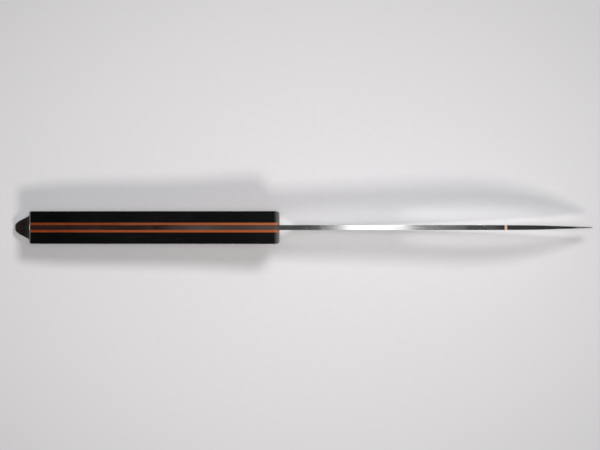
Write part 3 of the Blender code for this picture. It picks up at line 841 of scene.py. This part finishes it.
def polished_steel():
    material, tree, shader, place = new_finish("polished_steel")
    sides = flank(tree)
    turned = turned_upright(tree, place)
    upright = placed(tree, lines_group, Place=turned, Line_Length=22.0, Line_Width=0.25)
    hone = placed(tree, lines_group, Place=turned, Line_Length=3.0, Line_Width=0.12)
    marks = placed(tree, marks_group, Place=place, Patch_Size=12.0)
    rise = fit(tree, "ShaderNodeAttribute", attribute_name="rise").outputs["Fac"]
    honed = times(tree, between(tree, rise, BEVEL_RISE + 0.06 * MM, BEVEL_RISE - 0.06 * MM),
                   sides)
    clean = two_tones(tree, upright["Lines"], (0.6, 0.605, 0.61), (0.66, 0.665, 0.67))
    along = from_front(tree, place)
    off_sides = reckon(tree, "SUBTRACT", 1.0, sides)
    # Near the tip the spine, not the sides, is painted darker, as a painted darker reflection.
    painted_dark_spine = times(tree, between(tree, along, 146.0, 155.0), off_sides)
    toned = blend(tree, painted_dark_spine, clean, (0.29, 0.28, 0.27))
    scratched = blend(tree, times(tree, upright["Scratches"], 0.25), toned, (0.45, 0.45, 0.455))
    bevel = two_tones(tree, hone["Lines"], (0.64, 0.645, 0.65), (0.8, 0.8, 0.8))
    shine = between(tree, upright["Lines"], 0.25, 0.75, 0.1, 0.16)
    hazed = reckon(tree, "ADD", shine, times(tree, marks["Haze"], 0.06))
    rough = mixed(tree, honed, hazed, between(tree, hone["Lines"], 0.25, 0.75, 0.2, 0.34))
    feed(tree, shader, Base_Color=blend(tree, honed, scratched, bevel), Metallic=1.0, Roughness=rough,
         Normal=raised(tree, upright["Lines"], 0.001 * MM))
    return material


cutting_under = [point for point in choil if point.x > below_choil.x] + edge[1:]
cutting_under.insert(0, below_choil)
cutting_over = [below_choil] + [
    point for point in joint_below if below_choil.x < point.x < below_spine.x] + [below_spine] + [
    point for point in spine if point.x > below_spine.x]
cutting_columns = []
stations = spread(below_choil.x, heel.x, HEEL_STEP) + spread(heel.x, below_spine.x, BLADE_STEP)[1:]
stations += spread(below_spine.x, tip.x, TIP_STEP)[1:]
for x in stations:
    low, high = on_line(cutting_under, x), on_line(cutting_over, x)
    short = BEVEL_RISE - (low.y - level_at(edge, max(x, HEEL_X)))
    first = min(MOST_SHARE, max(LEAST_SHARE, short / max(high.y - low.y, THINNEST)))
    cutting_columns.append(column(low, high, CUTTING_ROWS, first))
cutting_edge = cut_blank("cutting_steel", cutting_columns)
grind(cutting_edge, polished_steel())
finish_mesh(cutting_edge)
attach(cutting_edge, "root")
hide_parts("edge_steel")

# The liners are sheets of orange vulcanised fibre, 1.25 mm thick, glued to each side of the
# tang, bored with it and sanded to its outline. Their edges have darkened towards the butt.
LINER_NEAR = PLATE / 2
LINER_FAR = 2.55 * MM
BELLY_STEPS = 24
SHEET_STEPS = 4
SIDE_STEPS = 10
TOP_STEPS = 6


def layer_profile(rib, near, far):
    """One layer's outer profile on a rib: pairs of place along the rib and place across the handle."""
    low, _, high, belly_rise, lean, flat, drawn_in = rib
    half, length = SIDE - drawn_in, (high - low).length
    belly = min(belly_rise, length - 2 * TOP_ROUND)
    belly_wide = half - flat

    def turn_at(across):
        return math.asin(min(1.0, max(0.0, (across - flat) / belly_wide)))

    def rise_at(angle):
        return belly * (1 - max(0.0, math.cos(angle)) ** lean)

    start, end, tang_rise = turn_at(near), turn_at(far), rise_at(turn_at(PLATE / 2))
    steps = BELLY_STEPS if far > half else SHEET_STEPS
    profile = [(rise_at(angle) - tang_rise, flat + belly_wide * math.sin(angle))
               for angle in spread(start, end, (end - start) / steps)]
    profile[0] = (profile[0][0], near)
    outer = min(far, half)
    shoulder = length - TOP_ROUND if far > half else length
    foot = profile[-1][0]
    profile += [(along, outer) for along in spread(foot, shoulder, (shoulder - foot) / SIDE_STEPS)[1:]]
    if far > half:
        for step in range(1, TOP_STEPS + 1):
            angle = math.pi / 2 * (1 - step / TOP_STEPS)
            profile.append((length - TOP_ROUND * (1 - math.cos(angle)),
                            half - TOP_ROUND * (1 - math.sin(angle))))
    return profile, length


def layer(name, near, far, side):
    """A handle layer lofted through every rib, between two distances from the middle plane."""
    build = bmesh.new()
    loops = []
    for rib in handle:
        profile, length = layer_profile(rib, near, far)
        outer, inner = [], []
        for along, across in profile:
            place = on_rib(rib, min(1.0, along / length))
            outer.append(build.verts.new(stand(place.x, side * across, place.y)))
            inner.append(build.verts.new(stand(place.x, side * near, place.y)))
        loops.append((outer, inner))
    for (outer, inner), (next_outer, next_inner) in zip(loops, loops[1:]):
        for this, that in ((outer, next_outer), (inner[::-1], next_inner[::-1])):
            for index in range(len(this) - 1):
                build.faces.new((this[index], this[index + 1], that[index + 1], that[index]))
        build.faces.new((outer[-1], inner[-1], next_inner[-1], next_outer[-1]))
        build.faces.new((inner[0], outer[0], next_outer[0], next_inner[0]))
    for outer, inner in (loops[0], loops[-1]):
        for index in range(len(outer) - 1):
            build.faces.new((outer[index], outer[index + 1], inner[index + 1], inner[index]))
    piece = closed_piece(name, build)
    bore_through(piece)
    return finish_mesh(piece)


def dress_layer(name, near, far, side, finish):
    """Makes a handle layer, gives it its finish and says which solid it stands for."""
    piece = layer(name + "_layer", near, far, side)
    piece.data.materials.clear()
    piece.data.materials.append(finish)
    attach(piece, "root")
    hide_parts(name)


def sanded_fibre(name, at_front, at_butt, darkest_at):
    material, tree, shader, place = new_finish(name)
    plies = noise(tree, stretched(tree, place, (18.0, 0.09, 3.0)), detail=2.0)
    fibres = noise(tree, stretched(tree, place, (1.1, 0.3, 0.5)), detail=3.0, roughness=0.65)
    marks = placed(tree, marks_group, Place=place, Patch_Size=9.0)
    grime_and_light = placed(tree, grime_and_light_group, Place=place, Clean_At=2.0, Full_At=darkest_at)
    pale, deep = (tuple(part * share for part in at_front) for share in (1.12, 0.86))
    sheet = two_tones(tree, fibres, deep, pale)
    plied = blend(tree, times(tree, between(tree, plies, 0.52, 0.7), 0.25), sheet,
                  tuple(part * 0.6 for part in at_front))
    soiled = blend(tree, grime_and_light["Grime"], plied, at_butt)
    specked = blend(tree, times(tree, marks["Specks"], 0.4), soiled, (0.1, 0.03, 0.015))
    along = from_front(tree, place)
    # The last 3.6 mm at the front is painted paler, as a painted highlight on the rounded front edge.
    fibre_front_highlight = blend(tree, between(tree, along, -3.6, 0.0, 0.0, 0.85), specked, (0.38, 0.21, 0.15))
    # The toe is painted dark as painted shade, and the butt's top rear edge pale as a painted highlight.
    toe = blend(tree, grime_and_light["Toe_Painted_Shade"], fibre_front_highlight, (0.019, 0.012, 0.0098))
    with_painted_corner_highlight = blend(tree, grime_and_light["Corner_Painted_Highlight"], toe, (0.37, 0.24, 0.2))
    feed(tree, shader, Base_Color=with_painted_corner_highlight, Specular_IOR_Level=0.12,
         Roughness=between(tree, fibres, 0.25, 0.75, 0.5, 0.66),
         Normal=raised(tree, reckon(tree, "ADD", fibres, plies), 0.012 * MM))
    return material


for hand, side, at_front, at_butt, darkest_at in (
        ("left", 1, (0.44, 0.122, 0.037), (0.195, 0.037, 0.0087), -94.0),
        ("right", -1, (0.43, 0.099, 0.023), (0.235, 0.039, 0.0095), -128.0)):
    dress_layer(f"{hand}_liner", LINER_NEAR, LINER_FAR, side,
                sanded_fibre(f"orange_fibre_{hand}", at_front, at_butt, darkest_at))

# The scales are two slabs of black resin-bonded wood, 6.1 mm thick, glued over the liners and
# riveted. They are shaped together to a full belly and a hooked toe, and buffed to a low gloss.


def black_resin_wood():
    material, tree, shader, place = new_finish("black_resin_wood")
    grain = noise(tree, stretched(tree, place, (34.0, 0.7, 0.9)), detail=4.0, roughness=0.6, warp=0.3)
    pores = noise(tree, stretched(tree, place, (2.6, 0.16, 0.2)), detail=1.0)
    marks = placed(tree, marks_group, Place=place, Patch_Size=22.0)
    grime_and_light = placed(tree, grime_and_light_group, Place=place, Clean_At=0.0, Full_At=-120.0)
    pitted = between(tree, pores, 0.66, 0.76)
    dark = blend(tree, between(tree, grain, 0.35, 0.7), (0.0014, 0.0015, 0.0016), (0.0036, 0.0035, 0.0035))
    porous = blend(tree, times(tree, pitted, 0.8), dark, (0.0008, 0.0008, 0.0008))
    hazy = blend(tree, times(tree, marks["Haze"], 0.25), porous, (0.006, 0.0058, 0.0056))
    along = from_front(tree, place)
    # Towards the front the black is painted greyer, as a painted sheen where the top rises and mirrors the
    # lamps.
    with_painted_light = blend(tree, between(tree, along, -60.0, -5.0, 0.0, 0.6), hazy, (0.0065, 0.0067, 0.007))
    # The toe is painted dark as painted shade.
    toe = blend(tree, grime_and_light["Toe_Painted_Shade"], with_painted_light, (0.0175, 0.0113, 0.0095))
    # The last 3 mm at the front is painted grey, as a painted highlight on the rounded front edge.
    wood_front_highlight = blend(tree, between(tree, along, -3.0, 0.2), toe, (0.2, 0.2, 0.203))
    # The butt's top rear edge is painted pale as a painted highlight.
    with_painted_corner_highlight = blend(tree, grime_and_light["Corner_Painted_Highlight"], wood_front_highlight, (0.21, 0.195, 0.19))
    gloss = reckon(tree, "ADD", between(tree, grain, 0.3, 0.75, 0.15, 0.21),
                   times(tree, marks["Haze"], 0.04))
    # On the toe the wood is also made rougher, so that it keeps its painted shade.
    dull = reckon(tree, "ADD", gloss, times(tree, grime_and_light["Toe_Painted_Shade"], 0.5))
    feed(tree, shader, Base_Color=with_painted_corner_highlight, Specular_IOR_Level=0.27,
         Roughness=reckon(tree, "ADD", dull, times(tree, pitted, 0.25)),
         Normal=raised(tree, reckon(tree, "SUBTRACT", times(tree, grain, 0.4), pitted), 0.004 * MM))
    return material


scale_wood = black_resin_wood()
for name, side in (("left_scale", 1), ("right_scale", -1)):
    dress_layer(name, LINER_FAR, SIDE + MM, side, scale_wood)

# Three cutler's rivets of stainless steel hold the handle. Each is a barrel from the left and a
# pin driven into it from the right, with flat heads let into the scales and ground flush.
BARREL_END = -4.65 * MM
PIN_END = -4.35 * MM
BORE_RADIUS = 1.6 * MM
BORE_DEPTH = 9.0 * MM
DIMPLE_DEPTH = 0.2 * MM
RIM_BREAK = 0.06 * MM


def ground_rivet_steel():
    material, tree, shader, place = new_finish("rivet_steel")
    lines = placed(tree, lines_group, Place=place, Line_Length=6.0, Line_Width=0.16)
    marks = placed(tree, marks_group, Place=place, Patch_Size=5.0)
    clean = two_tones(tree, lines["Lines"], (0.52, 0.52, 0.525), (0.66, 0.66, 0.66))
    scratched = blend(tree, times(tree, lines["Scratches"], 0.5), clean, (0.34, 0.34, 0.34))
    feed(tree, shader, Metallic=1.0,
         Base_Color=blend(tree, times(tree, marks["Haze"], 0.35), scratched, (0.45, 0.42, 0.39)),
         Roughness=between(tree, lines["Lines"], 0.25, 0.75, 0.2, 0.34),
         Normal=raised(tree, lines["Lines"], 0.003 * MM))
    return material


rivet_steel = ground_rivet_steel()
for label, x in zip(("front", "middle", "rear"), RIVETS_X):
    for half, side, shank, end, bore, depth in (
            ("female", 1, BARREL_RADIUS, BARREL_END, BORE_RADIUS, BORE_DEPTH),
            ("male", -1, PIN_RADIUS, PIN_END, PIN_RADIUS / 2, DIMPLE_DEPTH)):
        piece = turn_rivets(
            f"{label}_rivet_{half}", (x,), side, Face=SIDE, Head_Radius=HEAD_RADIUS, Head_Depth=HEAD_DEPTH,
            Shank_Radius=shank, Shank_Length=SIDE - HEAD_DEPTH - end, Bore_Radius=bore,
            Bore_Depth=depth, Rim_Break=RIM_BREAK, Finish=rivet_steel)
        finish_mesh(piece)
        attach(piece, "root")
        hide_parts(f"rivet_{label}_{half}")

for drill in drills:
    bpy.data.objects.remove(drill, do_unlink=True)
bpy.data.collections.remove(drill_rack)

# A pale floor painted darker away from the middle as a painted pool of light, a soft lamp to each side,
# three overhead and four faint ones beside the blade.
# The room is pale low down, and dark above and at its two ends, which is what the steel mirrors.
FLOOR_REACH = 6.0
floor_mesh = bpy.data.meshes.new("floor")
floor_mesh.from_pydata([(x * FLOOR_REACH, y * FLOOR_REACH, 0) for x, y in (
    (-1, -1), (1, -1), (1, 1), (-1, 1))], [], [(0, 1, 2, 3)])
floor = put_in("floor", floor_mesh)
floor_finish = bpy.data.materials.new("floor")
floor_finish.use_nodes = True
tree = floor_finish.node_tree
place = fit(tree, "ShaderNodeTexCoord").outputs["Object"]
matt = noise(tree, stretched(tree, place, (0.004, 0.004, 0.004)), detail=4.0, roughness=0.6)
# Away from the middle the floor is painted darker, as a painted pool of light.
from_middle = stretched(tree, fit(tree, "ShaderNodeMapping", {
    "Vector": place, "Location": (0.02, 0.0, 0.0)}).outputs[0], (0.15, 0.113, 1.0))
outward = fit(tree, "ShaderNodeVectorMath", {0: from_middle, 1: from_middle}, operation="DOT_PRODUCT")
painted_pool_falloff = fit(tree, "ShaderNodeMapRange", {0: outward.outputs["Value"], 1: 0.0, 2: 2.4}).outputs[0]
paler = two_tones(tree, matt, (0.815, 0.799, 0.813), (0.83, 0.814, 0.828))
feed(tree, tree.nodes["Principled BSDF"], Roughness=0.7, Specular_IOR_Level=0.2,
     Base_Color=blend(tree, painted_pool_falloff, paler, (0.655, 0.643, 0.655)))
floor_mesh.materials.append(floor_finish)
floor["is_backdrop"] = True


def lamp(name, aim, out, power, size, colour):
    light = bpy.data.lights.new(name, "AREA")
    light.shape = "DISK"
    light.size = size
    light.energy = power
    light.color = colour
    obj = put_in(name, light)
    obj.location = Vector(aim) + Vector(out)
    obj.rotation_mode = "QUATERNION"
    obj.rotation_quaternion = (-Vector(out)).to_track_quat("-Z", "Y")
    obj.visible_camera = False
    return obj


MIDDLE = (0.0, 0.0, 0.0)
WHITE = (1.0, 1.0, 1.0)
GLINT_HEIGHT = 8.0 * MM
GLINT_SPREAD = math.radians(70.0)
lamp("south_lamp", MIDDLE, Vector((0.2, -0.42, 1.0)) * 1.35, 6.4, 0.3, (1.0, 0.985, 0.96))
lamp("north_lamp", MIDDLE, Vector((0.2, 0.3, 1.0)) * 1.4, 8.9, 0.3, (0.975, 0.985, 1.0))
lamp("overhead_lamp", (-0.0236, 0, 0.045), (0.0, 0.0, 0.45), 0.0152, 0.0465, WHITE)
lamp("overhead_fill", (0.02, 0, 0.045), (0.0, 0.0, 0.45), 0.0011, 0.054, WHITE)
lamp("ceiling_lamp", MIDDLE, (0.0, 0.0, 1.45), 4.7, 0.2, (1, 0.995, 0.99)).visible_glossy = False
for name, aim, size, power in (
        ("north_glint", (0.055, 0.0055, 0.0), (0.15, 0.012), 0.00044),
        ("south_glint", (0.06, -0.007, 0.0), (0.17, 0.016), 0.0006),
        ("north_tip_glint", (0.102, 0.0073, 0.0), (0.1, 0.0095), 0.00036),
        ("south_tip_glint", (0.1, -0.0062, 0.0), (0.095, 0.009), 0.00036)):
    glint = lamp(name, aim, (0.0, -0.1 * aim[1], GLINT_HEIGHT), power, size[0], WHITE)
    glint.data.shape, glint.data.size_y = "ELLIPSE", size[1]
    glint.data.spread = GLINT_SPREAD
    glint.visible_glossy = False

world = bpy.data.worlds.new("studio")
bpy.context.scene.world = world
world.use_nodes = True
sky = world.node_tree
sky.nodes.clear()
direction = fit(sky, "ShaderNodeTexCoord").outputs["Generated"]
axes = fit(sky, "ShaderNodeSeparateXYZ", {0: direction}).outputs
ramp = fit(sky, "ShaderNodeValToRGB", {0: axes["Z"]})
stops = ((0.0, 0.62), (0.16, 0.42), (0.34, 0.18), (0.5, 0.08), (0.66, 0.045), (0.9, 0.045), (0.985, 0.085))
while len(ramp.color_ramp.elements) < len(stops):
    ramp.color_ramp.elements.new(1.0)
for element, (stop, grey) in zip(ramp.color_ramp.elements, stops):
    element.position = stop
    element.color = (grey, grey, grey, 1)
at_ends = between(sky, reckon(sky, "ABSOLUTE", axes["X"]), 0.4, 0.75)
unseen = reckon(sky, "SUBTRACT", 1.0, fit(sky, "ShaderNodeLightPath").outputs["Is Camera Ray"])
flagged = blend(sky, reckon(sky, "MULTIPLY", at_ends, unseen), ramp.outputs[0], (0.05, 0.05, 0.05))
background = fit(sky, "ShaderNodeBackground", {"Color": flagged, "Strength": 1.0})
fit(sky, "ShaderNodeOutputWorld", {"Surface": background.outputs[0]})

camera = bpy.data.cameras.new("camera")
camera.lens = 165.4
camera.clip_end = 30
viewer = put_in("camera", camera)
viewer.location = (-1.2 * MM, 1.35 * MM, 1.495)
bpy.context.scene.camera = viewer
bpy.context.scene.view_settings.view_transform = "Standard"

low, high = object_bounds()
